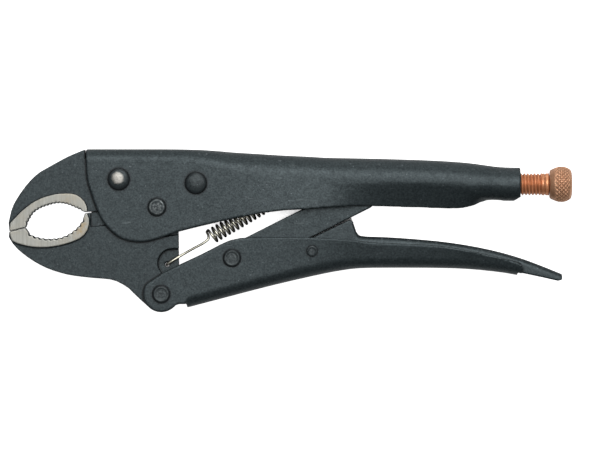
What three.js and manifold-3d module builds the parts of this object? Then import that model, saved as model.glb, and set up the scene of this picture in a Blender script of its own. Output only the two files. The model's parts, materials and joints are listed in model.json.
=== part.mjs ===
// Curved-jaw locking pliers, lying on their side: X runs from the jaws to the adjusting knob, Y from the
// lower handle to the upper one, and Z is the thickness. Millimetres.
// The pieces are drawn round the jaw pivot, in the middle plane of the tool. The last lines move the
// whole tool so that its origin is the centre of its footprint, on the surface it lies on.

import * as THREE from "three";
import { mergeVertices } from "three/addons/utils/BufferGeometryUtils.js";
import Module from "manifold-3d";

const wasm = await Module();
wasm.setup();

// Driving dimensions
const SHEET = 2.2; // steel of both handles
const HANDLE_HALF = 8.5; // half the outside width of both handles where they are riveted
const JAW_HALF = 6; // half the thickness of the forged jaws
const GRIP_HALF = 6.6; // half the thickness of the ground, toothed band round the mouth
const TONGUE_HALF = 5.3; // half the thickness of the lower jaw where it turns between the cheeks
const LINK_HALF = 3.9; // half the width of the toggle link
const LEVER_HALF = 4.7; // half the width of the release lever
const TAB_HALF = 1; // half the thickness of the tab that holds the spring
const LINK_SHEET = 2;
const LEVER_SHEET = 1.7;
const PIVOT_RUN = 0.15; // radial clearance of a pin in its hole
const HEAD_GAP = 0.15; // clearance under a rivet head

const TOOTH_DEPTH = 0.5; // in the body of both jaws
const UPPER_TEETH = { pitch: 1.6, depth: 0.75 }; // in the ground band, cut back further than the body
const LOWER_TEETH = { pitch: 2.3, depth: 1.05 };

const JAW_PIVOT = [0, 0];
const EAR_PIVOT = [1.9, -38.4]; // lower jaw to lower handle
const TOGGLE_PIVOT = [33.1, -22.5]; // lower handle to toggle link
const THRUST_POINT = [98, 10.1]; // centre of the link's nose, which bears on the screw
const LEVER_PIVOT = [68.4, -19.4]; // lower handle to release lever
const FRONT_RIVET = [-16.8, 12.3];
const REAR_RIVET = [17.2, 10.6];
const POCKET_WEB = 5.2; // metal left between the two spring pockets of the lower jaw
const SPRING_HOLE = [4.4, -25.4]; // in the lower jaw
const SPRING_ANCHOR = [72.8, 15.6]; // in the tab under the upper handle's back

const RIVET_SHANK = 3;
const LEVER_PIN_SHANK = 1.6;
const LUG_RADIUS = 9; // lower jaw's round lug about the jaw pivot
const EAR_RADIUS = 8;

const SCREW_Y = 10.1;
const SCREW_RADIUS = 4.95;
const NOSE_RADIUS = 5.4;
const SCREW_TIP_X = THRUST_POINT[0] + NOSE_RADIUS + 1.3;
const KNOB_FRONT_X = 173.4;
const KNOB_LENGTH = 9.9;
const KNOB_RADIUS = 7.9;

const WIRE_RADIUS = 0.55;
const COIL_RADIUS = 3.1; // to the middle of the wire
const COIL_PITCH = 2.17;
const COIL_TURNS = 14;
const COIL_START = [24, -12.9];

const FINE = 24; // sides of a pin or hole
const THROUGH = 10; // from the middle plane to outside every piece but the rivet heads

// Shapes

const rad = THREE.MathUtils.degToRad;

function arc([x, y], radius, from, to, steps) {
  return Array.from({ length: steps + 1 }, (_, i) => {
    const a = rad(from + ((to - from) * i) / steps);
    return [x + radius * Math.cos(a), y + radius * Math.sin(a)];
  });
}

function smooth(points, steps) {
  const curve = new THREE.SplineCurve(points.map(([x, y]) => new THREE.Vector2(x, y)));
  return curve.getSpacedPoints(steps).map((p) => [p.x, p.y]);
}

// A curve cut into teeth that stand back by depth on the side given by inward (+1 or -1)
function toothed(points, inward, pitch, depth) {
  const curve = new THREE.SplineCurve(points.map(([x, y]) => new THREE.Vector2(x, y)));
  const teeth = Math.round(curve.getLength() / pitch);
  return Array.from({ length: 2 * teeth + 1 }, (_, i) => {
    const at = i / (2 * teeth);
    const p = curve.getPointAt(at);
    const t = curve.getTangentAt(at);
    const back = i % 2 && i > 1 && i < 2 * teeth - 1 ? depth * inward : 0;
    return [p.x - t.y * back, p.y + t.x * back];
  });
}

function plate(outline, low, high) {
  const shape = new THREE.Shape(outline.map(([x, y]) => new THREE.Vector2(x, y)));
  const geometry = new THREE.ExtrudeGeometry(shape, { depth: high - low, bevelEnabled: false });
  return solid(geometry.translate(0, 0, low));
}

// A plate on the side of the tool given by face (+1 or -1), from near to far from the middle plane
function plateOn(face, outline, near, far) {
  return face > 0 ? plate(outline, near, far) : plate(outline, -far, -near);
}

function pin([x, y], radius, low, high, sides = FINE) {
  const geometry = new THREE.CylinderGeometry(radius, radius, high - low, sides);
  return solid(geometry.rotateX(Math.PI / 2).translate(x, y, (low + high) / 2));
}

function rivetHole(place) {
  return pin(place, RIVET_SHANK + PIVOT_RUN, -THROUGH, THROUGH);
}

function leverPinHole(place) {
  return pin(place, LEVER_PIN_SHANK + PIVOT_RUN, -THROUGH, THROUGH);
}

// A turned piece: profile points are [radius, along], closed on the axis, along +Z.
function turned(profile, sides = FINE) {
  const geometry = new THREE.LatheGeometry(profile.map(([r, z]) => new THREE.Vector2(r, z)), sides);
  return solid(geometry.rotateX(Math.PI / 2));
}

function solid(geometry) {
  const bare = geometry.clone();
  bare.deleteAttribute("normal");
  bare.deleteAttribute("uv");
  const merged = mergeVertices(bare, 1e-4);
  const index = merged.index.array;
  const corners = [];
  for (let i = 0; i < index.length; i += 3) {
    const [a, b, c] = [index[i], index[i + 1], index[i + 2]];
    if (a !== b && b !== c && a !== c) corners.push(a, b, c);
  }
  const vertProperties = merged.attributes.position.array;
  const made = (triVerts) => new wasm.Manifold(new wasm.Mesh({ numProp: 3, vertProperties, triVerts }));
  const outward = made(new Uint32Array(corners));
  return outward.volume() > 0 ? outward : made(new Uint32Array(corners.reverse()));
}

// Bent sheet: a channel whose section changes along X. The stations are joined by smooth curves. Each one
// gives the Y of the channel's back and of its free edge, half its width, the height of the bend at its
// back, and how its walls end. Where lean is above zero they turn inwards by that angle, with the radius
// curl, from waist below the back. Below zero, the bend stops that much short and they run on outwards.
const STATION = ["x", "back", "edge", "half", "rise", "waist", "curl", "lean"];
const LIP = 1; // nearest that a rolled edge comes to the middle plane

function channel(stations, sheet, { spans, bends, walls }) {
  const curves = STATION.map(
    (_, k) => new THREE.SplineCurve(stations.map((station, i) => new THREE.Vector2(i, station[k]))),
  );
  const rings = [];
  for (let i = 0; i <= spans; i++) {
    const values = curves.map((curve, k) => [STATION[k], curve.getPoint(i / spans).y]);
    rings.push(sectionRing(Object.fromEntries(values), sheet, bends, walls));
  }
  const size = rings[0].length;
  const index = [];
  for (let r = 0; r < spans; r++) {
    for (let k = 0; k < size; k++) {
      const a = r * size + k;
      const b = r * size + ((k + 1) % size);
      index.push(a, b, b + size, a, b + size, a + size);
    }
  }
  const last = spans * size;
  for (let k = 0; k < size / 2 - 1; k++) {
    const [a, b, c, d] = [k, k + 1, size - 2 - k, size - 1 - k];
    index.push(a, c, b, a, d, c);
    index.push(last + a, last + b, last + c, last + a, last + c, last + d);
  }
  const geometry = new THREE.BufferGeometry();
  geometry.setAttribute("position", new THREE.Float32BufferAttribute(rings.flat(2), 3));
  geometry.setIndex(index);
  return solid(geometry);
}

// One section of a channel: the outside from one free edge to the other, then the inside back again.
// Points are [z, depth below the back, and the outward normal's z and depth].
function sectionRing(station, sheet, bends, walls) {
  const { x, back, edge, lean } = station;
  const down = Math.sign(edge - back);
  const depth = Math.abs(edge - back);
  const bend = bendPoints(station, bends);
  const wall = lean < 0 ? splayedWall(bend.at(-1), depth, walls) : rolledWall(station, depth, walls);
  const side = [...bend, ...wall];
  const mirrored = side.map(([z, d, nz, nd]) => [-z, d, -nz, nd]).reverse();
  const outside = [...mirrored, ...side];
  const inside = outside.map(([z, d, nz, nd]) => [z - sheet * nz, d - sheet * nd]);
  const place = ([z, d]) => [x, back + down * d, z];
  return [...outside.map(place), ...inside.reverse().map(place)];
}

function bendPoints({ half, rise, lean }, steps) {
  const width = Math.min(rise, half);
  const sweep = rad(90 + Math.min(0, lean));
  return Array.from({ length: steps + 1 }, (_, i) => {
    const a = (sweep * i) / steps;
    const normal = new THREE.Vector2(Math.sin(a) / width, -Math.cos(a) / rise).normalize();
    return [half - width + width * Math.sin(a), rise - rise * Math.cos(a), normal.x, normal.y];
  });
}

function splayedWall([z, d, nz, nd], depth, steps) {
  return Array.from({ length: steps }, (_, i) => {
    const along = ((depth - d) * (i + 1)) / steps;
    return [z - (nd / nz) * along, d + along, nz, nd];
  });
}

function rolledWall({ half, rise, waist, curl, lean }, depth, steps) {
  const turn = Math.min(rad(lean), Math.asin(Math.min(1, (depth - waist) / curl)));
  const arcEnd = [half - curl * (1 - Math.cos(turn)), waist + curl * Math.sin(turn)];
  let beyond = Math.max(0, (depth - arcEnd[1]) / Math.cos(turn));
  if (turn > 0) beyond = Math.min(beyond, Math.max(0, arcEnd[0] - LIP) / Math.sin(turn));
  const run = waist - rise + curl * turn + beyond;
  return Array.from({ length: steps }, (_, i) => {
    const along = (run * (i + 1)) / steps - (waist - rise);
    if (along < 0) return [half, waist + along, 1, 0];
    const a = Math.min(turn, along / curl);
    const straight = Math.max(0, along - curl * turn);
    const z = half - curl * (1 - Math.cos(a)) - straight * Math.sin(a);
    return [z, waist + curl * Math.sin(a) + straight * Math.cos(a), Math.cos(a), Math.sin(a)];
  });
}

// Upper handle: a channel over the jaws that becomes a rolled tube round the screw, with a threaded
// collar at its end. The edge of its cheeks is trimmed to the profile of the side view.

const CHEEK_FRONT = [
  [-31.4, 23.6], [-31.1, 14.7], [-30.3, 10], [-26.7, -0.6], [-23.8, -6.5],
  [-19.6, -11.2], [-14.9, -14.2], [-7.8, -15.4], [-1.3, -14.5], [9.3, -10.9],
];
const CHEEK_EDGE = [[9.3, -10.9], [27.8, -6.4], [49.3, -2.1], [62.8, -1.1], [84.6, 0.4]];
const UPPER_STATIONS = [
  [-31.4, 25.6, -17, 8.5, 5, 12, 12, 0],
  [-10, 25.6, -17, 8.5, 5.1, 12, 12, 0],
  [8, 25.57, -13, 8.5, 5.2, 12, 12, 0],
  [19, 25.3, -11, 8.5, 6, 12, 12, 0],
  [27, 24.8, -9, 8.45, 7.4, 11, 12, 0],
  [34, 24.2, -7, 8.4, 8.4, 10, 12, -0.5],
  [44, 23.6, -6, 8.3, 9, 10, 12, -1.5],
  [55, 22.9, -4, 8.3, 9, 10, 12, -2],
  [66, 22.4, -2, 8.3, 8.8, 10, 12, -2],
  [74.5, 21.9, -1, 8.4, 8.8, 10.5, 12, -0.5],
  [84, 21.7, 0.4, 8.5, 8.8, 11, 9, 6],
  [94, 21.5, 0.4, 8.6, 8.8, 10.2, 8, 12],
  [106, 21.2, 0, 8.7, 8.8, 9.6, 8, 16],
  [120, 20.7, -0.4, 8.7, 8.4, 9.2, 8, 19],
  [131, 20.1, -0.8, 8.6, 8.6, 9, 8, 22],
  [138, 19.5, 0, 8.5, 8.8, 9, 8.5, 34],
  [144, 18.7, 2, 8, 8.1, 8.2, 7.6, 66],
  [149, 18, 2.6, 7.5, 7.5, 7.7, 7.2, 82],
  [154, 17.6, 2.4, 7.4, 7.4, 7.7, 7.3, 82],
  [160.5, 17.5, 2.4, 7.3, 7.3, 7.6, 7.2, 82],
];
const COLLAR_END = [[84.6, -6], [157.4, -6], [157.4, 2.5], [160.3, 4.4], [165, 4.4]];
const TAB = [[69.8, 20.4], [69.8, 15.5], [71, 13.9], [74.6, 13.9], [75.8, 15.5], [75.8, 20.4]];
const COLLAR_BORE = { from: 110, to: 170, radius: SCREW_RADIUS + 0.25 };

function upperHandle() {
  const front = smooth(CHEEK_FRONT, 22);
  const edge = smooth(CHEEK_EDGE, 8).slice(1);
  const profile = [...front, ...edge, ...COLLAR_END, [165, 30], [-31.4, 30]];
  const bore = pin([0, 0], COLLAR_BORE.radius, COLLAR_BORE.from, COLLAR_BORE.to)
    .rotate([0, 90, 0])
    .translate([0, SCREW_Y, 0]);
  let made = channel(UPPER_STATIONS, SHEET, { spans: 36, bends: 10, walls: 10 })
    .intersect(plate(profile, -THROUGH, THROUGH))
    .subtract(bore)
    .add(plate(TAB, -TAB_HALF, TAB_HALF))
    .subtract(pin(SPRING_ANCHOR, WIRE_RADIUS + 0.4, -2 * TAB_HALF, 2 * TAB_HALF, 12));
  for (const pivot of [FRONT_RIVET, REAR_RIVET, JAW_PIVOT]) made = made.subtract(rivetHole(pivot));
  return made;
}

// Jaws: forged plates with a ground, toothed band that stands a little proud round the mouth.

const UPPER_MOUTH = [
  [-31.8, -2.2], [-35.6, -0.6], [-39.7, 1.1], [-43.8, 1.6], [-47.4, 0.9],
  [-51.5, -0.6], [-54.6, -2.7], [-56.6, -5.9], [-58.1, -9.05],
];
const UPPER_LIP = [-65.1, -10.7];
const UPPER_BACK = [
  [-65.5, -7], [-64, -0.6], [-61.6, 4.1], [-57.4, 10], [-52.7, 14.7],
  [-47.4, 17.9], [-39.7, 22.1], [-34.4, 24.4], [-31.75, 25.45],
];
const UPPER_BAND = [
  [-64.9, -7.1], [-60.4, -2.4], [-56.2, 1.1], [-51.5, 3.8], [-45.6, 5.6],
  [-40.9, 6.1], [-36.5, 5.8], [-33.4, 4.1], [-31.2, 1.2], [-30.6, -1.95],
];
const TANG = [[-31.75, 21.1], [8, 21.1], [18, 19.9], [24, 17.6], [26.5, 15.6], [26.5, 6.5], [24, 3.9]];

function upperJaw() {
  const mouth = toothed(UPPER_MOUTH, -1, UPPER_TEETH.pitch, TOOTH_DEPTH);
  const grip = toothed(UPPER_MOUTH, -1, UPPER_TEETH.pitch, UPPER_TEETH.depth);
  const lugClearance = arc(JAW_PIVOT, LUG_RADIUS + 0.5, 24.2, 190, 16);
  const outline = [...smooth(UPPER_BACK, 18), ...TANG, ...lugClearance, [-29, -1.9], ...mouth, UPPER_LIP];
  const band = [...smooth(UPPER_BAND, 18), ...grip, UPPER_LIP];
  return plate(outline, -JAW_HALF, JAW_HALF)
    .add(plate(band, -GRIP_HALF, GRIP_HALF))
    .subtract(rivetHole(FRONT_RIVET))
    .subtract(rivetHole(REAR_RIVET));
}

const LOWER_MOUTH = [
  [-31.8, -2.8], [-32.3, -4.4], [-33.8, -7.1], [-36.2, -9.7], [-39.7, -12.1],
  [-43.8, -13.5], [-48.6, -13.8], [-52.1, -13.3], [-55.7, -12.1], [-58.1, -9.2],
];
const LOWER_LIP = [-65.2, -10.85];
const BELLY = [
  [-65.4, -13.2], [-63.3, -16.6], [-60.4, -19.5], [-56.8, -22.3], [-52.7, -24.9],
  [-48, -27.2], [-42.6, -29], [-37.4, -30.2], [-29.1, -31.2], [-20.2, -32],
  [-16.1, -33.6], [-12.5, -35.8], [-9.6, -38.7], [-5.6, -42.4],
];
const LOWER_BAND = [
  [-64.9, -12.4], [-63.9, -15.1], [-60.4, -16.4], [-55.7, -17.5], [-48.6, -17.8], [-41.5, -16.6],
  [-36.2, -14.9], [-32.6, -12.9], [-30.3, -9.5], [-29.9, -5.3], [-30.7, -2.7],
];
const CLOSING_EDGE = [[-30.4, -2.6], [-28.9, -2.5], [-28.3, -2.1], [-12, -2.05]]; // under the upper jaw
// Ground where the faces are thinned to turn between the upper handle's cheeks
const TONGUE = [
  [-29.3, -8.9], [-22.6, -8.1], [-14, -8.6], [4, -13], [12, -12],
  [12, 12], [-14, 12], [-14, 0], [-29.3, 0],
];
const SPRING_POCKET = [...arc([6.6, -24.7], 6.4, 90, 270, 12), [12, -31.1], [12, -18.3]];

function lowerJaw() {
  const mouth = toothed(LOWER_MOUTH, 1, LOWER_TEETH.pitch, TOOTH_DEPTH).reverse();
  const grip = toothed(LOWER_MOUTH, 1, LOWER_TEETH.pitch, LOWER_TEETH.depth).reverse();
  const lug = arc(JAW_PIVOT, LUG_RADIUS, 194.8, 0, 18);
  const ear = arc(EAR_PIVOT, EAR_RADIUS, 360, 225, 12);
  const belly = smooth(BELLY, 22).reverse();
  const outline = [...mouth, ...CLOSING_EDGE, ...lug, [9.4, -10.9], ...ear, ...belly, LOWER_LIP];
  const band = [...grip, ...smooth(LOWER_BAND, 18).reverse(), LOWER_LIP];
  let made = plate(outline, -JAW_HALF, JAW_HALF).add(plate(band, -GRIP_HALF, GRIP_HALF));
  for (const face of [-1, 1]) {
    made = made.subtract(plateOn(face, TONGUE, TONGUE_HALF, THROUGH));
    made = made.subtract(plateOn(face, SPRING_POCKET, POCKET_WEB / 2, THROUGH));
  }
  return made
    .subtract(rivetHole(JAW_PIVOT))
    .subtract(rivetHole(EAR_PIVOT))
    .subtract(pin(SPRING_HOLE, WIRE_RADIUS + 0.5, -POCKET_WEB, POCKET_WEB, 12));
}

// Lower handle: a channel open towards the upper handle, with two bare ears round the lower jaw.

const LOWER_TOP = [
  [2.4, -29.1], [10.1, -25.3], [21.6, -19.8], [30.2, -15.4], [34, -14.2], [37.8, -13.5],
  [45.5, -13.3], [56, -13.3], [67.9, -13.5], [76, -13.8], [84.6, -14.4], [94.7, -15.5],
  [109.9, -16.3], [124.8, -17.1], [138.3, -19.3], [147.3, -21.3], [154, -22.9], [159, -24.4],
];
const LOWER_END = [
  [161.1, -25.7], [161.5, -27], [161.5, -29.4], [160.7, -30.6], [158, -32], [13.2, -60], [13.2, -40],
];
const EAR_HEEL = [[24, -37], [14.5, -38.5], [12.6, -42.8], [9.6, -42.8], [8.2, -43.4], [5.9, -45.2]];
const EAR_END_X = 24; // where the flat ears run out into the channel's walls
const TAIL_SLOT = { from: 159.2, half: LEVER_HALF + 0.6 }; // cut from the back's end for the lever's tail
const LOWER_STATIONS = [
  [13.2, -44.4, -18, 8.5, 5, 8, 12, 0],
  [30, -40, -12, 8.5, 5.2, 8, 12, 0],
  [50, -34.8, -10, 8.4, 5.4, 8, 12, -1],
  [69.4, -30.3, -10, 8.1, 5.6, 8, 12, -3],
  [80, -28.2, -11, 7.9, 5.6, 7.5, 12, -6],
  [89.7, -27, -12, 7.7, 5.4, 7, 12, -8],
  [105, -26.8, -12, 7.7, 5.4, 7, 12, -8],
  [124.8, -26.9, -13, 7.7, 5.4, 6.6, 12, -10],
  [138, -27.4, -15, 7.6, 5.4, 6.4, 12, -14],
  [151.8, -28.8, -18, 7.5, 5.2, 6, 12, -14],
  [161.5, -30.5, -22, 7.5, 5, 5.6, 12, -12],
];

function lowerHandle() {
  const top = smooth(LOWER_TOP, 34);
  const profile = [...top.slice(3), ...LOWER_END];
  const round = arc(EAR_PIVOT, EAR_RADIUS, 295, 145, 12);
  const ear = [...top.filter(([x]) => x < EAR_END_X), ...EAR_HEEL, ...round];
  let made = channel(LOWER_STATIONS, SHEET, { spans: 24, bends: 8, walls: 5 })
    .intersect(plate(profile, -THROUGH, THROUGH));
  for (const face of [-1, 1]) made = made.add(plateOn(face, ear, HANDLE_HALF - SHEET, HANDLE_HALF));
  const slot = [[TAIL_SLOT.from, -40], [170, -40], [170, -20], [TAIL_SLOT.from, -20]];
  return made
    .subtract(plate(slot, -TAIL_SLOT.half, TAIL_SLOT.half))
    .subtract(rivetHole(EAR_PIVOT))
    .subtract(rivetHole(TOGGLE_PIVOT))
    .subtract(leverPinHole(LEVER_PIVOT));
}

// Toggle link: a folded channel, open towards the spring, drawn along its own length from the toggle
// pivot and then turned into place. Its closed round nose bears on the screw.

const LINK_RUN = [THRUST_POINT[0] - TOGGLE_PIVOT[0], THRUST_POINT[1] - TOGGLE_PIVOT[1]];
const LINK_LENGTH = Math.hypot(...LINK_RUN);
const LINK_ANGLE = THREE.MathUtils.radToDeg(Math.atan2(LINK_RUN[1], LINK_RUN[0]));
const LINK_ABOVE = 5.4; // centre line to the open edge
const LINK_BELOW = 7.6; // centre line to the folded back

function toggleLink() {
  const outline = [
    ...arc([0, 0], 6.2, 100, 245, 10),
    [1.5, -LINK_BELOW + 0.4],
    [5, -LINK_BELOW],
    [LINK_LENGTH - 8, -LINK_BELOW],
    ...arc([LINK_LENGTH, 0], NOSE_RADIUS, -70, 90, 12),
    [6, LINK_ABOVE],
  ];
  const hollow = [
    [-8, 8],
    [-8, -4.5],
    [-2, -LINK_BELOW + LINK_SHEET],
    [LINK_LENGTH - 10, -LINK_BELOW + LINK_SHEET],
    [LINK_LENGTH - 5, -3],
    [LINK_LENGTH - 5, 8],
  ];
  return plate(outline, -LINK_HALF, LINK_HALF)
    .subtract(plate(hollow, -LINK_HALF + LINK_SHEET, LINK_HALF - LINK_SHEET))
    .subtract(rivetHole([0, 0]))
    .rotate([0, 0, LINK_ANGLE])
    .translate([...TOGGLE_PIVOT, 0]);
}

// Release lever: a narrow channel upside down in the lower handle, with a nose under the toggle link
// and a tail beyond the handle's end.

const LEVER_BACK = [
  [60, -3], [84.4, -3.6], [86.5, -6.6], [88.6, -11.9], [92, -12.9], [100, -13.2], [109.9, -13.8],
  [124.8, -15.1], [138, -17], [150, -19.5], [160.8, -22.6], [170, -26], [178.9, -29.6],
];
const LEVER_EDGE = -36; // below the trimmed edge of the cheeks everywhere
const LEVER_BEND = 2.4;
const LEVER_NOSE = [[68.6, -13.5], [83.9, -6.1], [84.5, -5.75], [85.2, -5.6], [91, -9], [180, -9]];
const LEVER_TAIL = [
  [180, -31], [178.6, -32.2], [177, -32.6], [170, -31], [160.6, -29], [160.2, -24.9],
  [156, -23.9], [146, -22.5], [134, -21.4], [112, -20.8], [90, -21.2], [76, -23],
];

function releaseLever() {
  const stations = LEVER_BACK.map(([x, back]) => [
    x, back, LEVER_EDGE, LEVER_HALF, LEVER_BEND, LEVER_BEND, 12, 0,
  ]);
  const hub = arc(LEVER_PIVOT, 4.3, 290, 140, 8);
  return channel(stations, LEVER_SHEET, { spans: 26, bends: 3, walls: 1 })
    .intersect(plate([...LEVER_TAIL, ...hub, ...LEVER_NOSE], -THROUGH, THROUGH))
    .subtract(leverPinHole(LEVER_PIVOT));
}

// Fasteners: rivets and pins with a head formed at each end. A head's points are [radius, height].

const DOME = [[4.9, 0], [4.7, 0.8], [3.7, 1.45], [2, 1.8], [0, 1.9]];
const FLAT = [[4.1, 0], [4.05, 0.55], [3.4, 1], [0, 1.05]];
const PEENED = [[4, 0], [3.9, 0.5], [3, 0.85], [2.5, 0.7], [0, 0.7]];
const PIN_END = [[2.4, 0], [2.3, 0.3], [1.7, 0.45], [0, 0.45]];

function fastener([x, y], shank, head) {
  const under = HANDLE_HALF + HEAD_GAP;
  const upper = head.map(([r, h]) => [r, under + h]);
  const lower = head.map(([r, h]) => [r, -under - h]).reverse();
  return turned([...lower, [shank, -under], [shank, under], ...upper]).translate([x, y, 0]);
}

// Adjusting screw and its knurled head, both turned along +Z and then laid along X.

const TIP_LENGTH = 7; // turned-down tip that bears on the link
const TIP_RADIUS = 4;
const SPIGOT_RADIUS = 3.4; // pressed into the knob
const SPIGOT_LENGTH = 6;
const SOCKET_DEPTH = 6.4;

function alongX(made, x) {
  return made.rotate([0, 90, 0]).translate([x, SCREW_Y, 0]);
}

function adjustingScrew() {
  const length = KNOB_FRONT_X - SCREW_TIP_X;
  const tip = [[0, 0], [SPIGOT_RADIUS, 0], [TIP_RADIUS, 1.4], [TIP_RADIUS, TIP_LENGTH]];
  const rod = [[SCREW_RADIUS, TIP_LENGTH + 1], [SCREW_RADIUS, length - 3.4]];
  const collar = [[4.6, length - 2.6], [SCREW_RADIUS, length - 1.8], [SCREW_RADIUS, length - 0.3]];
  const spigot = [
    [SPIGOT_RADIUS, length - 0.3],
    [SPIGOT_RADIUS, length + SPIGOT_LENGTH],
    [0, length + SPIGOT_LENGTH],
  ];
  return alongX(turned([...tip, ...rod, ...collar, ...spigot]), SCREW_TIP_X);
}

function screwKnob() {
  const front = [[0, 0], [6.4, 0], [7.1, 1.2], [KNOB_RADIUS, 3.8], [KNOB_RADIUS, KNOB_LENGTH - 3.2]];
  const end = [[7.4, KNOB_LENGTH - 1.3], [6.3, KNOB_LENGTH - 0.4], [5, KNOB_LENGTH], [0, KNOB_LENGTH]];
  const socket = pin([0, 0], SPIGOT_RADIUS + PIVOT_RUN, -1, SOCKET_DEPTH);
  return alongX(turned([...front, ...end], 32).subtract(socket), KNOB_FRONT_X);
}

// Return spring: a hook in the lower jaw, a straight leg, the coil, and a hook in the upper handle's tab.

const WIRE_SIDES = 6;
const COIL_STEPS = 10; // per turn
const SPRING_STEPS = 190; // along the whole wire
const SEAT = POCKET_WEB / 2 + WIRE_RADIUS + 0.3; // height of the wire over the web of its pocket
const COIL_RUN = [SPRING_ANCHOR[0] - COIL_START[0], SPRING_ANCHOR[1] - COIL_START[1]];
const COIL_REACH = Math.hypot(...COIL_RUN);

// A point of the wire, given along and across the line from the coil's start to the anchor
function fromCoil(along, across, z) {
  const [ux, uy] = [COIL_RUN[0] / COIL_REACH, COIL_RUN[1] / COIL_REACH];
  const x = COIL_START[0] + along * ux - across * uy;
  const y = COIL_START[1] + along * uy + across * ux;
  return [x, y, z];
}

function springPoints() {
  const hook = [0.6 - SEAT, 0, SEAT - 0.8].map((z) => [...SPRING_HOLE, z]);
  const leg = [[5.2, -24.7, SEAT], [10.2, -21.6, 3.5], [15.6, -18.5, 1], [21, -15.5, -1.5]];
  const kink = [[22.6, -13.9, -1.9], [22.5, -12.3, -1.8], [21.9, -11, -1]];
  const coil = Array.from({ length: COIL_TURNS * COIL_STEPS + 1 }, (_, i) => {
    const turn = i / COIL_STEPS;
    const angle = 2 * Math.PI * turn;
    return fromCoil(COIL_PITCH * turn, COIL_RADIUS * Math.cos(angle), COIL_RADIUS * Math.sin(angle));
  });
  const coilEnd = COIL_PITCH * COIL_TURNS;
  const tail = [
    fromCoil(coilEnd + 0.8, 2.6, 1.4),
    fromCoil(coilEnd + 2.6, 1.2, 2.2),
    fromCoil((coilEnd + COIL_REACH) / 2, 0, 2.2),
    fromCoil(COIL_REACH - 2, 0, 2.2),
  ];
  const anchor = [1.7, 0, -2].map((z) => [...SPRING_ANCHOR, z]);
  return [...hook, ...leg, ...kink, ...coil, ...tail, ...anchor];
}

function returnSpring() {
  const points = springPoints().map((p) => new THREE.Vector3(...p));
  const extrudePath = new THREE.CatmullRomCurve3(points, false, "centripetal");
  const ring = arc([0, 0], WIRE_RADIUS, 0, 360 - 360 / WIRE_SIDES, WIRE_SIDES - 1);
  const section = new THREE.Shape(ring.map(([x, y]) => new THREE.Vector2(x, y)));
  const settings = { steps: SPRING_STEPS, bevelEnabled: false, extrudePath };
  return solid(new THREE.ExtrudeGeometry(section, settings));
}

// Assembly

const look = (color, roughness, metalness) => new THREE.MeshStandardMaterial({ color, roughness, metalness });
const blackened = look(0x3a4246, 0.6, 0.3);
const blackForging = look(0x363d41, 0.65, 0.3);
const rivetSteel = look(0x343a3c, 0.5, 0.6);
const copperPlate = look(0xb8714a, 0.4, 0.9);
const springSteel = look(0x8f8a78, 0.3, 1);

const pieces = [
  ["upper_handle", upperHandle(), blackened],
  ["upper_jaw", upperJaw(), blackForging],
  ["lower_jaw", lowerJaw(), blackForging],
  ["lower_handle", lowerHandle(), blackened],
  ["toggle_link", toggleLink(), blackened],
  ["release_lever", releaseLever(), blackened],
  ["front_jaw_rivet", fastener(FRONT_RIVET, RIVET_SHANK, DOME), rivetSteel],
  ["rear_jaw_rivet", fastener(REAR_RIVET, RIVET_SHANK, DOME), rivetSteel],
  ["jaw_pivot_rivet", fastener(JAW_PIVOT, RIVET_SHANK, FLAT), rivetSteel],
  ["handle_pivot_rivet", fastener(EAR_PIVOT, RIVET_SHANK, PEENED), rivetSteel],
  ["toggle_pivot_rivet", fastener(TOGGLE_PIVOT, RIVET_SHANK, PEENED), rivetSteel],
  ["release_lever_pin", fastener(LEVER_PIVOT, LEVER_PIN_SHANK, PIN_END), rivetSteel],
  ["adjusting_screw", adjustingScrew(), copperPlate],
  ["screw_knob", screwKnob(), copperPlate],
  ["return_spring", returnSpring(), springSteel],
];

const pliers = new THREE.Group();
for (const [name, made, material] of pieces) {
  const mesh = made.getMesh();
  const geometry = new THREE.BufferGeometry();
  geometry.setAttribute("position", new THREE.BufferAttribute(mesh.vertProperties, mesh.numProp));
  geometry.setIndex(new THREE.BufferAttribute(mesh.triVerts, 1));
  geometry.computeVertexNormals();
  const piece = new THREE.Mesh(geometry, material);
  piece.name = name;
  pliers.add(piece);
}

const box = new THREE.Box3().setFromObject(pliers);
pliers.position.set(-(box.min.x + box.max.x) / 2, -(box.min.y + box.max.y) / 2, -box.min.z);

export default pliers;
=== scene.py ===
"""The looks of the curved-jaw locking pliers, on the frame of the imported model.

Metres throughout, in the model's own frame: the tool lies on its side, X runs from the jaws to the
adjusting knob, Y from the lower handle to the upper one and Z up. MM turns millimetres into metres.
"""

import json
import math

import bpy
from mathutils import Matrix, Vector, noise


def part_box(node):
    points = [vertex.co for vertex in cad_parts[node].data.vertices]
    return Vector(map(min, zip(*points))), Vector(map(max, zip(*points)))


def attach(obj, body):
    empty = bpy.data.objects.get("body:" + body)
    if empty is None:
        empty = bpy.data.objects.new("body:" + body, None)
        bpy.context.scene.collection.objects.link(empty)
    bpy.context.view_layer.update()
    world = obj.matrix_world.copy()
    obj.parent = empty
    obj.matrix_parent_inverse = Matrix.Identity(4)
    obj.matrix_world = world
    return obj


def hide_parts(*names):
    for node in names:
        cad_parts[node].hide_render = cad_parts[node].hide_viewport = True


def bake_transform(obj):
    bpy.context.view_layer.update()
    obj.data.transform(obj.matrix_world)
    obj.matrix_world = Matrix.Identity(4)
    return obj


MM = 0.001

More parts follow.
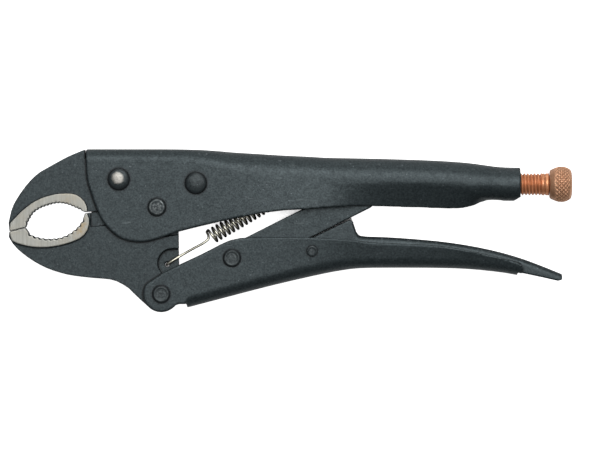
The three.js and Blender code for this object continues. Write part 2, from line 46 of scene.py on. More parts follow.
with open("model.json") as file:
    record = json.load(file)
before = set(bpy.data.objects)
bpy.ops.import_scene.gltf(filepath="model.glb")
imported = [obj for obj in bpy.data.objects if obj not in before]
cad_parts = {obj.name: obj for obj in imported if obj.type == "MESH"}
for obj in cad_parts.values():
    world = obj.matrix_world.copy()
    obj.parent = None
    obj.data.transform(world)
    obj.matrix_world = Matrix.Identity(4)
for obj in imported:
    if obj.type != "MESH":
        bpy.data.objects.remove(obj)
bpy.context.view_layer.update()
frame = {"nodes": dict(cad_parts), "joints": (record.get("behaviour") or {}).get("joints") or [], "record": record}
joints = {joint["name"]: joint for joint in frame["joints"]}
jaw_pivot = Vector(joints["jaw_swing"]["pos_m"])
MID_Z = jaw_pivot.z
CHEEK_HALF = 8.5 * MM  # half the outside width of both handles


def body_of(node):
    """The CAD body that a node belongs to."""
    bodies = frame["record"]["behaviour"]["bodies"]
    return next(body for body, members in bodies.items() if node in members)


def from_pivot(x, y, z=0.0):
    """A point given in millimetres from the jaw pivot, at the tool's middle plane."""
    return jaw_pivot + Vector((x, y, z)) * MM


def centre_of(node):
    low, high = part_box(node)
    return (low + high) / 2


# ---------------------------------------------------------------- node trees


def new_material(name):
    material = bpy.data.materials.new(name)
    material.use_nodes = True
    tree = material.node_tree
    return material, tree, tree.nodes["Principled BSDF"]


def add(tree, kind, inputs=(), **settings):
    """A shader node with its settings, and its sockets set to a value or linked to another socket."""
    node = tree.nodes.new("ShaderNode" + kind)
    for name, value in settings.items():
        setattr(node, name, value)
    for socket, value in dict(inputs).items():
        if isinstance(value, bpy.types.NodeSocket):
            tree.links.new(value, node.inputs[socket])
        else:
            node.inputs[socket].default_value = value
    return node


def link(tree, socket, target):
    tree.links.new(socket, target)


def calc(tree, operation, a, b=0.0):
    return add(tree, "Math", {0: a, 1: b}, operation=operation).outputs[0]


def times(tree, a, b):
    return calc(tree, "MULTIPLY", a, b)


def ramp(tree, value, low, high, to_low=0.0, to_high=1.0):
    """value from low to high becomes to_low to to_high, and stays there outside them."""
    sockets = {"Value": value, "From Min": low, "From Max": high, "To Min": to_low, "To Max": to_high}
    return add(tree, "MapRange", sockets, clamp=True).outputs["Result"]


def mix(tree, factor, a, b):
    """Colour a where factor is 0 and b where it is 1. Each is a socket, or red, green and blue."""
    a, b = (colour if isinstance(colour, bpy.types.NodeSocket) else (*colour, 1) for colour in (a, b))
    node = add(tree, "Mix", {0: factor, 6: a, 7: b}, data_type="RGBA")
    return node.outputs[2]


def shaded(colour, shade):
    """The colour made darker, by a shade from 0 to 1."""
    return tuple(shade * part for part in colour)


def place(tree):
    return add(tree, "TexCoord").outputs["Object"]


def grain(tree, size, detail=3.0, stretch=(1, 1, 1), shift=(0, 0, 0)):
    """Noise whose features are about size metres across, from 0 to 1."""
    mapping = add(tree, "Mapping", {"Vector": place(tree), "Scale": stretch, "Location": shift})
    sockets = {"Vector": mapping.outputs["Vector"], "Scale": 1 / size, "Detail": detail, "Roughness": 0.55}
    return add(tree, "TexNoise", sockets).outputs["Fac"]


def patches(tree, size, low, high, to_low=0.0, to_high=1.0, **settings):
    """Patches about size metres across: to_low where the noise is under low, to_high where over high."""
    return ramp(tree, grain(tree, size, **settings), low, high, to_low, to_high)


def bump(tree, height, depth, normal=None):
    sockets = {"Height": height, "Distance": depth, "Strength": 1.0}
    if normal is not None:
        sockets["Normal"] = normal
    return add(tree, "Bump", sockets).outputs["Normal"]


def along_x(tree):
    return add(tree, "SeparateXYZ", {0: place(tree)}).outputs["X"]


def height_above_middle(tree):
    """How far the surface is from the tool's middle plane, whichever side it is on."""
    z = add(tree, "SeparateXYZ", {0: place(tree)}).outputs["Z"]
    return calc(tree, "ABSOLUTE", calc(tree, "SUBTRACT", z, MID_Z))


def distance_from(tree, point, across=(1, 1, 1)):
    """How far the surface is from a point, in metres, with each axis weighted."""
    offset = add(tree, "VectorMath", {0: place(tree), 1: tuple(point)}, operation="SUBTRACT")
    weighted = add(tree, "VectorMath", {0: offset.outputs[0], 1: across}, operation="MULTIPLY")
    return add(tree, "VectorMath", {0: weighted.outputs[0]}, operation="LENGTH").outputs["Value"]


def facing_out(tree):
    """How squarely the surface faces out of either side of the tool, from 0 to 1."""
    normal = add(tree, "SeparateXYZ", {0: add(tree, "NewGeometry").outputs["Normal"]})
    return calc(tree, "ABSOLUTE", normal.outputs["Z"])


def sharpness(tree):
    """Under 0.5 in grooves and over 0.5 along edges."""
    return add(tree, "NewGeometry").outputs["Pointiness"]


def open_sky(tree, reach, samples=8):
    """How open the surface is, from 0 to 1, where only what is closer than reach covers it."""
    return add(tree, "AmbientOcclusion", {"Distance": reach}, samples=samples).outputs["AO"]


def crevice_shade_mask(tree, reach, open_at, shut_at, strength):
    """Mask for painted shade: 0 where the surface is open, rising to strength in a corner or under an edge."""
    return ramp(tree, open_sky(tree, reach), open_at, shut_at, 0, strength)


# ---------------------------------------------------------------- materials

# Blackened steel: the two ends of its mottle, what is on it, and the painted shade in its corners
BLACK_DEEP = (0.014, 0.021, 0.024)
BLACK_PALE = (0.050, 0.066, 0.070)
PINPRICK = (0.12, 0.14, 0.15)
SCRATCH = (0.12, 0.14, 0.145)
RUBBED = (0.13, 0.15, 0.16)
# painted shade, near black, in corners and round the rivet heads
CREVICE_SHADE = (0.004, 0.005, 0.006)
CREVICE_REACH = 1.3 * MM

# Forgings, blackened and ground
FORGING_SHADE = 0.94
PIT = (0.010, 0.013, 0.015)
# painted shadow along the foot of each raised face
STEP_SHADOW = (0.003, 0.004, 0.005)
STEP_REACH = 0.9 * MM  # how far the painted shadow line along a raised face spreads
GROUND_DEEP = (0.29, 0.29, 0.26)
GROUND_PALE = (0.41, 0.41, 0.375)
GROUND_WARM = (0.36, 0.325, 0.26)
GRIP_HALF = 6.6 * MM  # from the middle plane to the ground faces round the mouth
GROUND_LOW = GRIP_HALF - 0.22 * MM  # no bare steel under this, and nothing else over GROUND_HIGH
GROUND_HIGH = GRIP_HALF - 0.08 * MM
STAIN = (0.35, 0.26, 0.14)
STAIN_EDGE = 5.2 * MM
STAIN_CORE = 2.0 * MM
STAINS = [(from_pivot(-34.6, -8.6, 6.6), 0.8), (from_pivot(-39, 3.4, 6.6), 0.3)]  # place and strength
BARE_EAR = (0.38, 0.38, 0.36)
EAR_WEAR = from_pivot(1.2, -46.2, 3)
EAR_EDGE = 2.0 * MM
EAR_CORE = 1.2 * MM

# Rivets
RIVET_SHADE = 0.85
# painted shade round the edge of each rivet head
RIVET_RIM_SHADE = (0.012, 0.015, 0.017)
# worn steel and painted highlight on the ring inside a rivet head's rim
RIVET_WORN_AND_LIT = (0.17, 0.19, 0.19)
RIM_WIDTH = 0.7 * MM
RING_INSET = 0.15 * MM  # the middle of the worn ring with its painted highlight, inside the rim
RING_EDGE = 0.45 * MM  # from that middle, where the ring has faded out
RING_CORE = 0.15 * MM
FACE_EDGE = 2.2 * MM  # the mottled face within the ring
FACE_CORE = 1.9 * MM
BARE_DEEP = (0.30, 0.29, 0.26)
BARE_PALE = (0.62, 0.60, 0.55)
BARE_RAGGED = 0.8 * MM  # how far the edge of a bare spot wanders, and how soft it is
BARE_SOFT = 0.6 * MM

# Copper plate, as its palest and deepest colour, and the wire, with painted shade on its sides
THREAD_COPPER = [(1.0, 0.46, 0.23), (0.72, 0.27, 0.12)]
KNOB_COPPER = [(1.0, 0.56, 0.34), (0.62, 0.31, 0.17)]
COPPER_FLECK = (0.9, 0.6, 0.42)
# the knob's copper is darker in front of its knurl
COPPER_FRONT_DARK = (0.32, 0.16, 0.09)
FRONT_DARK_EDGE = 0.3 * MM
CUT_SHADE = 0.4  # how dark the painted shade makes the copper in the bottom of a groove
WIRE_DEEP = (0.68, 0.65, 0.52)
WIRE_PALE = (0.92, 0.90, 0.76)
# painted shade on the sides of the wire
WIRE_SIDE_SHADE = (0.035, 0.032, 0.025)


def blackened_colour(tree, shade=1.0):
    """Mottled slate grey, with a blasted speckle and a few pale pinpricks, and painted shade, near black, in its
    corners.
    """
    cloud = patches(tree, 30 * MM, 0.35, 0.65, detail=4)
    patch = patches(tree, 2.4 * MM, 0.3, 0.7)
    speckle = patches(tree, 0.8 * MM, 0.32, 0.68, detail=2)
    tone = calc(tree, "ADD", times(tree, cloud, 0.1), times(tree, patch, 0.2))
    tone = calc(tree, "ADD", tone, times(tree, speckle, 0.7))
    colour = mix(tree, tone, shaded(BLACK_DEEP, shade), shaded(BLACK_PALE, shade))
    prick = patches(tree, 0.9 * MM, 0.74, 0.8, detail=1, shift=(3, 1, 2))
    colour = mix(tree, prick, colour, PINPRICK)
    # painted shade where the surface is closed in
    return mix(tree, crevice_shade_mask(tree, CREVICE_REACH, 0.95, 0.6, 0.92), colour, CREVICE_SHADE)


def rubbed_edges(tree, low, high, strength):
    """0 on a flat surface, up to strength where it turns sharply outwards and the coating has worn."""
    edge = ramp(tree, sharpness(tree), low, high)
    broken = patches(tree, 1.6 * MM, 0.35, 0.6, detail=4)
    return times(tree, times(tree, edge, broken), strength)


def scratches(tree, strength):
    """Fine marks along the tool, in a few patches."""
    marks = patches(tree, 1.0 * MM, 0.63, 0.7, detail=2, stretch=(0.12, 1, 1), shift=(0.3, 0.1, 0.2))
    where = patches(tree, 9 * MM, 0.52, 0.66, shift=(1, 4, 2))
    return times(tree, times(tree, marks, where), strength)


def blasted_bump(tree):
    coarse = bump(tree, grain(tree, 1.1 * MM), 0.05 * MM)
    return bump(tree, grain(tree, 0.32 * MM), 0.035 * MM, coarse)


def blackened_sheet():
    """Sheet steel, sandblasted and blackened, rubbed at its edges and scratched."""
    material, tree, shader = new_material("blackened_sheet")
    colour = mix(tree, rubbed_edges(tree, 0.53, 0.6, 0.6), blackened_colour(tree), RUBBED)
    colour = mix(tree, scratches(tree, 0.5), colour, SCRATCH)
    link(tree, colour, shader.inputs["Base Color"])
    shader.inputs["Metallic"].default_value = 0.5
    shader.inputs["Specular IOR Level"].default_value = 0.4
    link(tree, patches(tree, 3 * MM, 0.3, 0.7, 0.34, 0.46), shader.inputs["Roughness"])
    link(tree, blasted_bump(tree), shader.inputs["Normal"])
    return material


def ground_colour(tree, lines):
    """Bright steel with grinding lines, warm clouds and stains."""
    colour = mix(tree, ramp(tree, lines, 0.3, 0.7), GROUND_DEEP, GROUND_PALE)
    colour = mix(tree, patches(tree, 5 * MM, 0.45, 0.75, 0, 0.5), colour, GROUND_WARM)
    for spot, strength in STAINS:
        near = ramp(tree, distance_from(tree, spot, (1, 0.75, 0)), STAIN_EDGE, STAIN_CORE, 0, strength)
        stain = times(tree, near, patches(tree, 1.8 * MM, 0.35, 0.6))
        colour = mix(tree, stain, colour, STAIN)
    return colour


def forging_colour(tree):
    """Blackened and pitted, with worn edges, a painted shadow line at each step and a bare spot on the ear."""
    pits = patches(tree, 1.5 * MM, 0.58, 0.72, 0, 0.45, detail=2, shift=(2, 7, 1))
    colour = mix(tree, pits, blackened_colour(tree, FORGING_SHADE), PIT)
    colour = mix(tree, rubbed_edges(tree, 0.54, 0.62, 0.45), colour, RUBBED)
    # painted shadow along each step
    colour = mix(tree, crevice_shade_mask(tree, STEP_REACH, 0.96, 0.76, 0.85), colour, STEP_SHADOW)
    ear = ramp(tree, distance_from(tree, EAR_WEAR, (1, 1, 0.15)), EAR_EDGE, EAR_CORE)
    ear = times(tree, ear, patches(tree, 0.9 * MM, 0.42, 0.55))
    return mix(tree, ear, colour, BARE_EAR)


def forged_steel():
    """Blackened forgings whose raised faces round the mouth are ground bright."""
    material, tree, shader = new_material("forged_steel")
    ground = ramp(tree, height_above_middle(tree), GROUND_LOW, GROUND_HIGH)
    ground = times(tree, ground, ramp(tree, facing_out(tree), 0.75, 0.92))
    lines = grain(tree, 0.6 * MM, stretch=(1, 0.06, 1))
    colour = mix(tree, ground, forging_colour(tree), ground_colour(tree, lines))
    link(tree, colour, shader.inputs["Base Color"])
    shader.inputs["Specular IOR Level"].default_value = 0.4
    shader.inputs["Metallic"].default_value = 0.5
    link(tree, ramp(tree, ground, 0, 1, 0.4, 0.42), shader.inputs["Roughness"])
    blasted = times(tree, grain(tree, 0.4 * MM), ramp(tree, ground, 0, 1, 1, 0.1))
    scored = times(tree, lines, ramp(tree, ground, 0, 1, 0, 0.35))
    link(tree, bump(tree, calc(tree, "ADD", blasted, scored), 0.06 * MM), shader.inputs["Normal"])
    return material


def worn_and_lit_head(tree, across, rim, strength):
    """A ring just inside the rim, worn and with a painted highlight, and a mottled face within it."""
    ring = calc(tree, "ABSOLUTE", calc(tree, "SUBTRACT", across, rim - RING_INSET))
    ring = times(tree, ramp(tree, ring, RING_EDGE, RING_CORE), patches(tree, 2 * MM, 0.35, 0.6))
    face = ramp(tree, across, FACE_EDGE, FACE_CORE, 0, 0.8)
    face = times(tree, face, patches(tree, 0.8 * MM, 0.45, 0.65))
    return times(tree, calc(tree, "MAXIMUM", ring, face), strength)


def bare_patch(tree, middle, size, strength):
    """A spot of bare steel with a ragged edge."""
    ragged = patches(tree, 1.5 * MM, 0, 1, -BARE_RAGGED, BARE_RAGGED)
    near = calc(tree, "ADD", distance_from(tree, middle, (1, 1, 0)), ragged)
    return ramp(tree, near, size + BARE_SOFT, size - BARE_SOFT, 0, strength)


def rivet_steel(name, centre, rim, wear_and_sheen=0.0, patch=None):
    """A blackened rivet, with painted shade past rim from its axis. The argument after rim is how worn its
    head is and how bright the painted highlight on its ring is, and patch is the middle, size and strength
    of a spot of bare steel on it."""
    material, tree, shader = new_material(name)
    across = distance_from(tree, centre, (1, 1, 0))
    # painted shade past the rim
    dark = ramp(tree, across, rim, rim + RIM_WIDTH, 0, 0.8)
    colour = mix(tree, dark, blackened_colour(tree, RIVET_SHADE), RIVET_RIM_SHADE)
    if wear_and_sheen:
        # wear, and a painted highlight on the head's ring
        colour = mix(tree, worn_and_lit_head(tree, across, rim, wear_and_sheen), colour, RIVET_WORN_AND_LIT)
    if patch:
        bare = bare_patch(tree, *patch)
        colour = mix(tree, bare, colour, mix(tree, grain(tree, 0.7 * MM), BARE_DEEP, BARE_PALE))
        link(tree, ramp(tree, bare, 0, 1, 0.4, 0.8), shader.inputs["Metallic"])
    else:
        shader.inputs["Metallic"].default_value = 0.4
    link(tree, colour, shader.inputs["Base Color"])
    link(tree, patches(tree, 1 * MM, 0.3, 0.7, 0.36, 0.55), shader.inputs["Roughness"])
    link(tree, bump(tree, grain(tree, 0.5 * MM), 0.05 * MM), shader.inputs["Normal"])
    return material


def copper_plate(name, colours, roughness, dark_front_until=None):
    """Copper-plated steel with an oily film, with painted shade where it is cut deep. It is darker before an X."""
    material, tree, shader = new_material(name)
    pale, deep = colours
    colour = mix(tree, patches(tree, 2.5 * MM, 0.3, 0.7, detail=4), deep, pale)
    # painted shade in the grooves
    colour = mix(tree, ramp(tree, sharpness(tree), 0.42, 0.56), shaded(deep, CUT_SHADE), colour)
    fleck = patches(tree, 0.7 * MM, 0.6, 0.72, 0, 0.55, shift=(2, 2, 5))
    colour = mix(tree, fleck, colour, COPPER_FLECK)
    if dark_front_until is not None:
        front_dark = ramp(tree, along_x(tree), dark_front_until + FRONT_DARK_EDGE, dark_front_until - FRONT_DARK_EDGE, 0, 0.5)
        colour = mix(tree, front_dark, colour, COPPER_FRONT_DARK)
    link(tree, colour, shader.inputs["Base Color"])
    shader.inputs["Metallic"].default_value = 0.55
    rough = patches(tree, 1.2 * MM, 0.3, 0.7, roughness, roughness + 0.15)
    link(tree, rough, shader.inputs["Roughness"])
    link(tree, bump(tree, grain(tree, 0.5 * MM), 0.03 * MM), shader.inputs["Normal"])
    return material


def spring_wire():
    """Bright drawn wire with a faint straw tint, and painted shade on the sides that turn away from above."""
    material, tree, shader = new_material("spring_wire")
    colour = mix(tree, patches(tree, 2.2 * MM, 0.35, 0.65), WIRE_DEEP, WIRE_PALE)
    # painted shade where the wire turns away from above
    colour = mix(tree, ramp(tree, facing_out(tree), 0.45, 0.85), WIRE_SIDE_SHADE, colour)
    link(tree, colour, shader.inputs["Base Color"])
    shader.inputs["Metallic"].default_value = 0.9
    link(tree, patches(tree, 2.0 * MM, 0.3, 0.7, 0.33, 0.4), shader.inputs["Roughness"])
    link(tree, bump(tree, grain(tree, 0.3 * MM, detail=2), 0.004 * MM), shader.inputs["Normal"])
    return material


# ---------------------------------------------------------------- meshes


def new_object(name, data):
    """An object in the scene that holds the data."""
    made = bpy.data.objects.new(name, data)
    bpy.context.scene.collection.objects.link(made)
    return made


def dress(mesh, material):
    """Smooth shading, and the one material."""
    mesh.polygons.foreach_set("use_smooth", [True] * len(mesh.polygons))
    mesh.materials.clear()
    mesh.materials.append(material)


def mesh_object(name, points, faces, material):
    mesh = bpy.data.meshes.new(name)
    mesh.from_pydata([tuple(p) for p in points], [], faces)
    mesh.validate()
    dress(mesh, material)
    return new_object(name, mesh)


def as_mesh(drawn):
    """A mesh of an object as its modifiers or its bevel make it."""
    bpy.context.view_layer.update()
    evaluated = drawn.evaluated_get(bpy.context.evaluated_depsgraph_get())
    return bpy.data.meshes.new_from_object(evaluated)


def stand_for(piece, node):
    """The piece rides with its CAD node's body and is shown in its place."""
    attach(piece, body_of(node))
    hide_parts(node)


def softened(node, material, voxel, passes):
    """The CAD node's own shape with its edges rounded over, as bent and forged steel is."""
    piece = new_object(node + "_steel", frame["nodes"][node].data.copy())
    remesh = piece.modifiers.new("remesh", "REMESH")
    remesh.mode = "VOXEL"
    remesh.voxel_size = voxel * 1
    rounding = piece.modifiers.new("rounding", "SMOOTH")
    rounding.factor = 0.5
    rounding.iterations = passes
    rounded = as_mesh(piece)
    piece.modifiers.clear()
    piece.data = rounded
    dress(rounded, material)
    stand_for(piece, node)


def rings_to_faces(rings, sides):
    """Quads between rings of points, and one face over each end."""
    faces = []
    for r in range(rings - 1):
        for k in range(sides):
            a = r * sides + k
            b = r * sides + (k + 1) % sides
            faces.append((a, b, b + sides, a + sides))
    faces.append(tuple(range(sides))[::-1])
    faces.append(tuple(range((rings - 1) * sides, rings * sides)))
    return faces


def turned(name, origin, axis, radii, sides, material):
    """A turned piece. radii is a list of (distance along the axis, radius or function of the angle)."""
    axis = Vector(axis)
    side = axis.orthogonal().normalized()
    other = axis.cross(side)
    points = []
    for along, radius in radii:
        for k in range(sides):
            angle = 2 * math.pi * k / sides
            r = radius(angle) if callable(radius) else radius
            points.append(origin + axis * along + (side * math.cos(angle) + other * math.sin(angle)) * r)
    return mesh_object(name, points, rings_to_faces(len(radii), sides), material)


def in_metres(profile, start=0.0):
    """A profile of (distance, radius) in millimetres, moved along to start."""
    return [(start + along * MM, radius * MM) for along, radius in profile]


def through(points, steps):
    """A smooth line through the points, with steps between each two of them."""
    points = [Vector(point) for point in points]
    padded = [points[0] * 2 - points[1], *points, points[-1] * 2 - points[-2]]
    line = []
    for p0, p1, p2, p3 in zip(padded, padded[1:], padded[2:], padded[3:]):
        before, across, after = (math.sqrt((b - a).length) for a, b in ((p0, p1), (p1, p2), (p2, p3)))
        leave = ((p1 - p0) / before - (p2 - p0) / (before + across) + (p2 - p1) / across) * across
        arrive = ((p2 - p1) / across - (p3 - p1) / (across + after) + (p3 - p2) / after) * across
        for k in range(steps):
            t = k / steps
            start = p1 * (2 * t**3 - 3 * t**2 + 1) + leave * (t**3 - 2 * t**2 + t)
            line.append(start + p2 * (3 * t**2 - 2 * t**3) + arrive * (t**3 - t**2))
    line.append(points[-1])
    return line


# ---------------------------------------------------------------- sheet and forged pieces

SHEET_VOXEL = 0.4 * MM
LEVER_VOXEL = 0.35 * MM
JAW_VOXEL = 0.22 * MM


def steel_pieces():
    sheet = blackened_sheet()
    forging = forged_steel()
    for node, material, voxel, passes in (
        ("upper_handle", sheet, SHEET_VOXEL, 5),
        ("lower_handle", sheet, SHEET_VOXEL, 5),
        ("toggle_link", sheet, SHEET_VOXEL, 4),
        ("release_lever", sheet, LEVER_VOXEL, 4),
        ("upper_jaw", forging, JAW_VOXEL, 3),
        ("lower_jaw", forging, JAW_VOXEL, 3),
    ):
        softened(node, material, voxel, passes)


# ---------------------------------------------------------------- rivets

# Heads, as (height over the cheek, radius) in millimetres from the edge to the middle
DOME = [(0.0, 4.85), (0.35, 4.9), (0.8, 4.62), (1.25, 3.95), (1.6, 2.9), (1.82, 1.6), (1.9, 0.05)]
FLAT = [(0.0, 4.1), (0.3, 4.08), (0.62, 3.75), (0.95, 3.3), (1.05, 2.95), (1.0, 2.2), (1.0, 0.05)]
PEENED = [(0.0, 4.0), (0.25, 3.98), (0.55, 3.6), (0.82, 3.2), (0.85, 2.95), (0.7, 2.5), (0.7, 0.05)]
PIN_END = [(0.0, 2.4), (0.2, 2.38), (0.38, 2.0), (0.45, 1.7), (0.25, 1.35), (0.25, 0.05)]
SHANK = 3.0 * MM
PIN_SHANK = 1.6 * MM
HEAD_GAP = 0.15 * MM
HEAD_STEPS = 5  # rings between each two points of a head
RIVET_SIDES = 64
DENTS = [(900, 0.05 * MM), (330, 0.08 * MM)]  # the hammer's marks: how many to a metre, and how deep
DENTS_FROM = 0.1 * MM  # height over the cheek where they start
BARE_SPOT = Vector((-0.4, 0.5, 0)) * MM  # on the front rivet, from its axis

RIVETS = [  # node, head, shank, material, radius of the rim, and its wear and ring's painted highlight
    ("front_jaw_rivet", DOME, SHANK, "front_rivet_steel", 3.9 * MM, 0.0),
    ("rear_jaw_rivet", DOME, SHANK, "rear_rivet_steel", 3.9 * MM, 0.0),
    ("jaw_pivot_rivet", FLAT, SHANK, "pivot_rivet_steel", 3.2 * MM, 0.9),
    ("handle_pivot_rivet", PEENED, SHANK, "handle_pivot_rivet_steel", 3.05 * MM, 0.25),
    ("toggle_pivot_rivet", PEENED, SHANK, "toggle_pivot_rivet_steel", 3.05 * MM, 0.25),
    ("release_lever_pin", PIN_END, PIN_SHANK, "lever_pin_steel", 1.9 * MM, 0.0),
]


def rivet(node, head, shank, material):
    """A shank with a hammered head at each end."""
    centre = centre_of(node)
    under = CHEEK_HALF + HEAD_GAP
    profile = in_metres(through(head, HEAD_STEPS), under)
    lower = [(-along, radius) for along, radius in reversed(profile)]
    rings = lower + [(-under, shank), (under, shank)] + profile
    piece = turned(node + "_head", centre, (0, 0, 1), rings, RIVET_SIDES, material)
    for vertex in piece.data.vertices:
        height = vertex.co.z - centre.z
        if abs(height) - under > DENTS_FROM:
            dent = sum(noise.noise(vertex.co * waves) * depth for waves, depth in DENTS)
            vertex.co.z += math.copysign(min(0.0, dent), height)
    stand_for(piece, node)


def rivets():
    bare_spots = {"front_jaw_rivet": (centre_of("front_jaw_rivet") + BARE_SPOT, 2.4 * MM, 0.85)}
    for node, head, shank, name, rim, wear_and_sheen in RIVETS:
        material = rivet_steel(name, centre_of(node), rim, wear_and_sheen, bare_spots.get(node))
        rivet(node, head, shank, material)


# ---------------------------------------------------------------- adjusting screw

# Both pieces are turned round X. Profiles are (distance, radius) in millimetres.
THREAD_PITCH = 1.5 * MM
THREAD_DEPTH = 0.8 * MM
THREAD_STEPS = 8  # rings per turn
TIP_LENGTH = 8.0 * MM
TIP = [(0.0, 0.1), (0.0, 3.2), (0.4, 3.7), (1.4, 4.0), (7.0, 4.0)]  # turned down, bears on the link
NECK_LENGTH = 2.6 * MM
NECK = [(0.25, 4.55), (0.6, 4.55), (0.85, 4.85), (2.3, 4.9), (2.3, 3.4)]  # smooth, from the thread's end
SPIGOT = [(0.0, 3.4), (0.0, 0.1)]  # its end, inside the knob
SCREW_SIDES = 72

KNOB_FRONT = [(0.3, 3.65), (0.0, 3.9), (0.0, 5.0), (0.0, 5.8)]
KNOB_SIDE = [(0.0, 5.9), (0.3, 6.3), (1.6, 6.95), (2.9, 7.5), (4.3, 7.82), (5.6, 7.85)]
KNOB_SIDE += [(7.2, 7.6), (8.7, 6.9)]
KNOB_STEPS = 12  # rings between each two points of its side
KNOB_BACK = [(-0.45, 6.2), (-0.12, 5.2), (0.0, 4.4), (0.0, 0.1)]  # from the knob's end
KNOB_SIDES = 384
KNURLS = 24  # grooves of each hand round the knob
KNURL_DEPTH = 0.42 * MM
KNURL_WIDTH = 0.6  # share of the way from a groove's bottom to the middle between two grooves
KNURL_START = 2.1 * MM  # from the knob's front, past its smooth bevel
KNURL_FADE_IN = 0.9 * MM
KNURL_FADE_OUT = 0.7 * MM


def threaded(along, major, thread_end):
    """The screw's radius round its axis, for one distance along it."""

    def radius(angle):
        turn = (along / THREAD_PITCH - angle / (2 * math.pi)) % 1.0
        flank = abs(2 * turn - 1)
        groove = max(0.0, min(1.0, 1.15 * flank - 0.08))  # with flats at the crest and the root
        runout = min(1.0, (along - TIP_LENGTH) / THREAD_PITCH, (thread_end - along) / THREAD_PITCH)
        return major - THREAD_DEPTH * max(0.0, runout) * groove

    return radius


def adjusting_screw():
    low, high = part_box("adjusting_screw")
    major = (high.y - low.y) / 2
    origin = Vector((low.x, (low.y + high.y) / 2, MID_Z))
    thread_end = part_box("screw_knob")[0].x - low.x - NECK_LENGTH
    steps = int((thread_end - TIP_LENGTH) / THREAD_PITCH * THREAD_STEPS)
    rings = in_metres(TIP)
    for i in range(steps + 1):
        along = TIP_LENGTH + (thread_end - TIP_LENGTH) * i / steps
        rings.append((along, threaded(along, major, thread_end)))
    rings += in_metres(NECK, thread_end) + in_metres(SPIGOT, high.x - low.x)
    copper = copper_plate("thread_copper", THREAD_COPPER, 0.27)
    piece = turned("adjusting_screw_thread", origin, (1, 0, 0), rings, SCREW_SIDES, copper)
    stand_for(piece, "adjusting_screw")


def knurled(along, outside, knurl_end):
    """The knob's radius round its axis, for one distance along it: two crossed sets of grooves."""

    def radius(angle):
        spiral = along / (outside * 2 * math.pi) * KNURLS
        round_knob = angle / (2 * math.pi) * KNURLS
        one = abs(((round_knob + spiral) % 1.0) * 2 - 1)
        two = abs(((round_knob - spiral) % 1.0) * 2 - 1)
        groove = 1 - min(one, two, KNURL_WIDTH) / KNURL_WIDTH
        fade = min(1.0, (along - KNURL_START) / KNURL_FADE_IN, (knurl_end - along) / KNURL_FADE_OUT)
        return outside - KNURL_DEPTH * max(0.0, fade) * groove

    return radius


def screw_knob():
    low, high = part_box("screw_knob")
    origin = Vector((low.x, (low.y + high.y) / 2, MID_Z))
    side = in_metres(through(KNOB_SIDE, KNOB_STEPS))
    knurl_end = side[-1][0]
    rings = in_metres(KNOB_FRONT)
    rings += [(along, knurled(along, outside, knurl_end)) for along, outside in side]
    rings += in_metres(KNOB_BACK, high.x - low.x)
    copper = copper_plate("knob_copper", KNOB_COPPER, 0.33, dark_front_until=low.x + KNURL_START)
    piece = turned("screw_knob_knurled", origin, (1, 0, 0), rings, KNOB_SIDES, copper)
    stand_for(piece, "screw_knob")


# ---------------------------------------------------------------- return spring

# In millimetres from the jaw pivot, except for the wire's radius
WIRE = 0.55 * MM
COIL_RADIUS = 3.1
COIL_PITCH = 2.17
COIL_TURNS = 14
COIL_STEPS = 20  # points per turn
WIRE_STEPS = 4  # between each two points of the line
COIL_START = Vector((24, -12.9))
SPRING_HOLE = Vector((4.4, -25.4))
SPRING_ANCHOR = Vector((72.8, 15.6))
LEG_SEAT = 3.45  # height of the wire over the web of the lower jaw's spring pocket
LEG = [(5.2, -24.7, LEG_SEAT), (10.2, -21.6, 3.5), (15.6, -18.5, 1), (21, -15.5, -1.5)]
LEG_BEND = [(22.6, -13.9, -1.9), (22.5, -12.3, -1.8), (21.9, -11, -1)]  # from the leg into the coil
ARM_HEIGHT = 2.2  # of the straight arm from the coil to the anchor


def spring_line():
    """The wire's middle line, hook to hook, and then the coil's far end and its near end."""
    along = (SPRING_ANCHOR - COIL_START).normalized()
    across = Vector((-along.y, along.x))

    def at(a, b, z):
        flat = COIL_START + along * a + across * b
        return Vector((flat.x, flat.y, z))

    hook = [Vector((*SPRING_HOLE, z)) for z in (0.6 - LEG_SEAT, 0, LEG_SEAT - 0.8)]
    leg = [Vector(point) for point in LEG + LEG_BEND]
    coil = []
    for i in range(COIL_TURNS * COIL_STEPS + 1):
        turn = i / COIL_STEPS
        angle = 2 * math.pi * turn
        coil.append(at(COIL_PITCH * turn, COIL_RADIUS * math.cos(angle), COIL_RADIUS * math.sin(angle)))
    reach = (SPRING_ANCHOR - COIL_START).length
    coil_end = COIL_PITCH * COIL_TURNS
    arm = [at(coil_end + 0.8, 2.6, 1.4), at(coil_end + 2.6, 1.2, ARM_HEIGHT)]
    arm += [at((coil_end + reach) / 2, 0, ARM_HEIGHT), at(reach - 2, 0, ARM_HEIGHT)]
    far_hook = [Vector((*SPRING_ANCHOR, z)) for z in (1.7, 0, -2)]
    return hook + leg + coil + arm + far_hook, at(coil_end, 0, 0), at(0, 0, 0)


def wire_mesh(name, line, radius):
    """A round wire along a line of points."""
    curve = bpy.data.curves.new(name, "CURVE")
    curve.dimensions = "3D"
    curve.bevel_depth = radius
    curve.bevel_resolution = 4
    curve.use_fill_caps = True
    spline = curve.splines.new("POLY")
    spline.points.add(len(line) - 1)
    for point, there in zip(spline.points, line):
        point.co = (*there, 1)
    drawn = new_object(name, curve)
    mesh = as_mesh(drawn)
    bpy.data.objects.remove(drawn)
    return mesh


def return_spring():
    """One wire, hooked into the lower jaw and into the tab under the upper handle's back."""
    points, coil_end, coil_start = spring_line()
    line = [jaw_pivot + point * MM for point in through(points, WIRE_STEPS)]
    mesh = wire_mesh("return_spring_line", line, WIRE)
    dress(mesh, spring_wire())
    piece = new_object("return_spring_wire", mesh)
    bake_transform(piece)
    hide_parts("return_spring")


# ---------------------------------------------------------------- stage, lights and camera

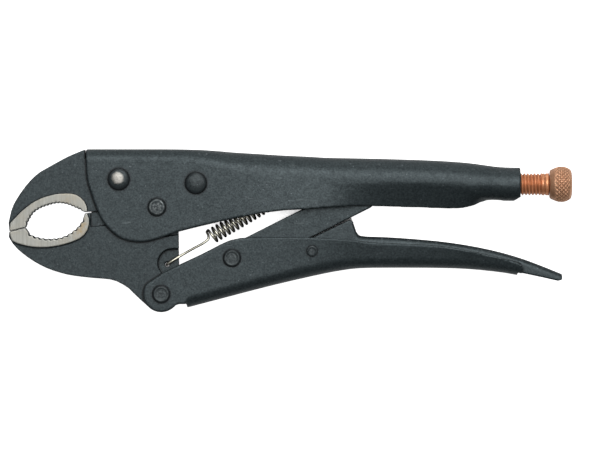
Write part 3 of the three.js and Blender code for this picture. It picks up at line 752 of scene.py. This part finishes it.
VIEW_WIDTH = 264.6 * MM  # what the camera sees across, at the height of the cheeks
VIEW_CENTRE = from_pivot(63.1, -7.9, 7)
CAMERA_HEIGHT = 3.0  # above the faces of the cheeks
SENSOR = 36.0
FLOOR_HALF = 2.5
FLOOR_DEEP = (0.86, 0.86, 0.86)
FLOOR_PALE = (0.9, 0.9, 0.9)
FLOOR_LIFT = 1.05  # extra light on the floor as the camera sees it, for an even white ground
SLIT_REACH = 0.06  # how far up the floor looks for the tool above it
SLITS = [(from_pivot(76.5, -9.4), 11 * MM), (from_pivot(-26.9, -2), 2.6 * MM)]  # middle and length
SLIT_SHADE = 0.35  # open sky taken off the floor under those slits
WORLD_TINT = (0.95, 0.97, 1.0, 1)
WORLD_LIGHT = 0.13
WORLD_SEEN = 0.9  # its strength where the camera sees it past the floor


def floor_lift(tree):
    """The floor's extra light, which fades out deep under the tool and in its marked slits."""
    sky = open_sky(tree, SLIT_REACH, samples=32)
    for middle, length in SLITS:
        near = ramp(tree, distance_from(tree, middle, (1, 1, 0)), length, 0.85 * length, 0, SLIT_SHADE)
        sky = calc(tree, "SUBTRACT", sky, near)
    seen = add(tree, "LightPath").outputs["Is Camera Ray"]
    return times(tree, seen, ramp(tree, sky, 0.04, 0.1, 0, FLOOR_LIFT))


def stage():
    """A pale floor, which the camera sees as nearly white."""
    material, tree, shader = new_material("pale_floor")
    cloth = patches(tree, 50 * MM, 0.3, 0.7, detail=4)
    link(tree, mix(tree, cloth, FLOOR_DEEP, FLOOR_PALE), shader.inputs["Base Color"])
    shader.inputs["Roughness"].default_value = 0.9
    shader.inputs["Emission Color"].default_value = (1, 1, 1, 1)
    link(tree, floor_lift(tree), shader.inputs["Emission Strength"])
    corners = [(FLOOR_HALF * x, FLOOR_HALF * y, 0) for x, y in ((-1, -1), (1, -1), (1, 1), (-1, 1))]
    mesh_object("floor", corners, [(0, 1, 2, 3)], material)


def area_light(name, location, size, power):
    """A round lamp, size metres across, that faces the origin."""
    light = bpy.data.lights.new(name, "AREA")
    light.shape = "DISK"
    light.size = size
    light.energy = power
    lamp = new_object(name, light)
    lamp.location = location
    lamp.rotation_euler = (-Vector(location)).to_track_quat("-Z", "Y").to_euler()


def lights():
    """A wide soft light above, a low one beyond the upper handle, and a dim world."""
    area_light("softbox", location=(0.07, 0.40, 1.0), size=1.05, power=9.8)
    area_light("edge_light", location=(0.05, 0.95, 0.3), size=0.8, power=1.6)
    world = bpy.data.worlds.new("studio")
    world.use_nodes = True
    tree = world.node_tree
    background = tree.nodes["Background"]
    background.inputs["Color"].default_value = WORLD_TINT
    seen = add(tree, "LightPath").outputs["Is Camera Ray"]
    link(tree, ramp(tree, seen, 0, 1, WORLD_LIGHT, WORLD_SEEN), background.inputs["Strength"])
    bpy.context.scene.world = world
    bpy.context.scene.view_settings.view_transform = "Standard"


def camera():
    """Straight above, and far enough off for very little perspective."""
    lens = bpy.data.cameras.new("camera")
    lens.sensor_width = SENSOR
    lens.lens = SENSOR * CAMERA_HEIGHT / VIEW_WIDTH
    lens.clip_start = 0.05
    eye = new_object("camera", lens)
    eye.location = VIEW_CENTRE + Vector((0, 0, CAMERA_HEIGHT))
    bpy.context.scene.camera = eye


# ---------------------------------------------------------------- the scene

camera()
lights()
stage()

steel_pieces()
rivets()
adjusting_screw()
screw_knob()
return_spring()
